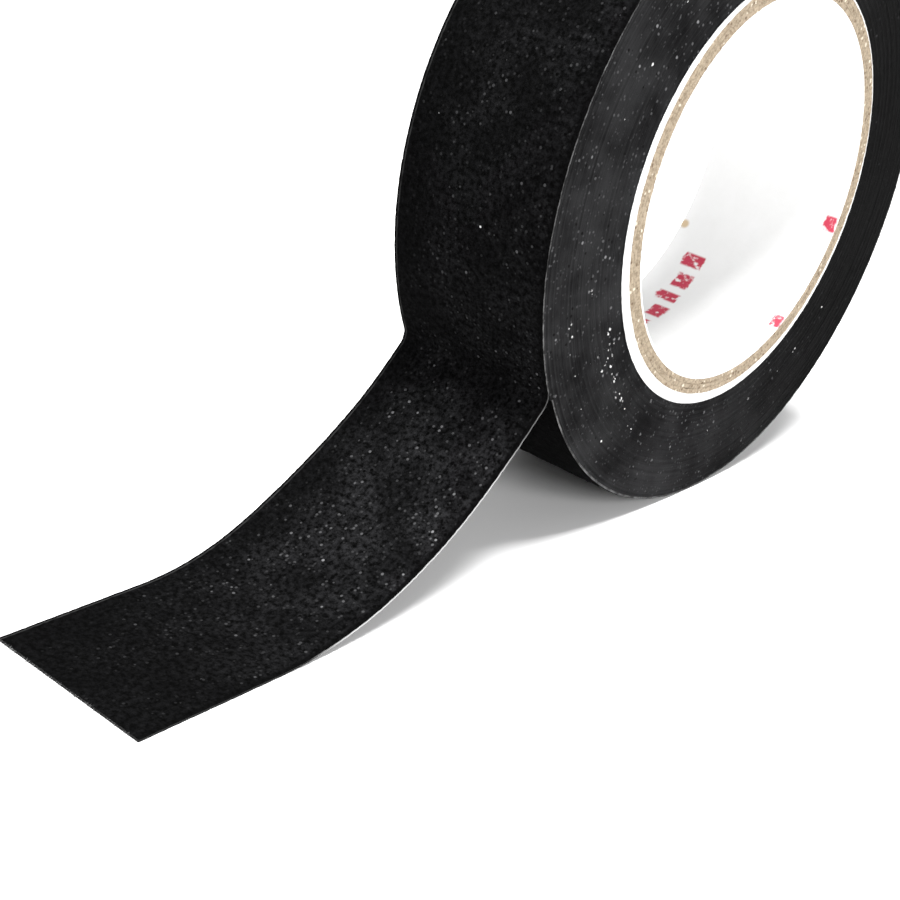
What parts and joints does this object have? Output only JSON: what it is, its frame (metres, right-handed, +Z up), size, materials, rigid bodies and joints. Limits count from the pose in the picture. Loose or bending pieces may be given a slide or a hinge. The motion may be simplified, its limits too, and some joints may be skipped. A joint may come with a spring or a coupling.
{
  "type": "grip tape roll",
  "caption": "Roll of black cloth grip tape on a paper core, standing on its rim with the free end peeled off and lying flat",
  "frame": {"origin": "centre of the core's bore, halfway across the tape's width", "axes": "+Y along the core's bore, +Z up with the roll standing on its rim, -X towards the free end of the tape"},
  "size_m": [0.151, 0.025, 0.0917],
  "materials": {
    "wound_tape": "matte",
    "tape_cloth": "matte",
    "tape_adhesive": "satin",
    "white_paper": "matte",
    "liner_paper": "satin",
    "chipboard": "matte"
  },
  "bodies": {
    "roll": {"core_inner_liner": "liner_paper", "core_board_ply_inner": "chipboard", "core_board_ply_middle": "chipboard", "core_board_ply_outer": "chipboard", "core_white_wrap": "white_paper", "wound_tape": "wound_tape", "last_turn_backing": "tape_cloth", "last_turn_adhesive": "tape_adhesive"},
    "curved_tail": {"curved_tail_backing": "tape_cloth", "curved_tail_adhesive": "tape_adhesive"},
    "flat_tail": {"flat_tail_backing": "tape_cloth", "flat_tail_adhesive": "tape_adhesive"}
  },
  "joints": [
    {"name": "tail_peel", "type": "hinge", "parent": "roll", "child": "curved_tail", "pos_m": [-0.04236, 0, -0.02222], "axis": [0, 1, 0], "range_deg": [0, 80]},
    {"name": "tail_fold", "type": "hinge", "parent": "curved_tail", "child": "flat_tail", "pos_m": [-0.08647, 0, -0.04554], "axis": [0, 1, 0], "range_deg": [0, 70]}
  ]
}
